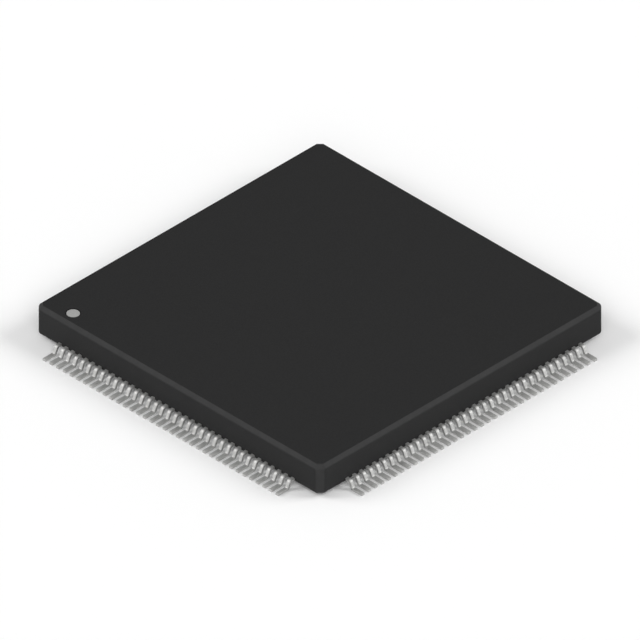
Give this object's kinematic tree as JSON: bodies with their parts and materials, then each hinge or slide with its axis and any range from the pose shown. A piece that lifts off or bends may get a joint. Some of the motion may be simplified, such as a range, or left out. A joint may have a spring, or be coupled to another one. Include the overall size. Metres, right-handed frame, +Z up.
{
  "type": "integrated circuit, quad flat package",
  "caption": "Square flat moulded chip package with rows of gull-wing leads on all sides and a round pin-one mark.",
  "frame": {"origin": "on the board, under the middle of the body", "axes": "+Z up from the board, the leads in rows along X and Y; lead one is at the -X, +Y corner"},
  "size_m": [0.0312, 0.0312, 0.0027],
  "materials": {
    "moulding_compound": "matte",
    "mark_paint": "matte",
    "tinned_leads": "satin",
    "copper_sheet": "satin",
    "die_adhesive": "matte",
    "silicon": "polished"
  },
  "bodies": {
    "root": {"mould_body": "moulding_compound", "pin_one_mark": "mark_paint", "leads_left_row": "tinned_leads", "leads_front_row": "tinned_leads", "leads_right_row": "tinned_leads", "leads_back_row": "tinned_leads", "die_paddle": "copper_sheet", "die_attach": "die_adhesive", "silicon_die": "silicon"}
  },
  "joints": []
}
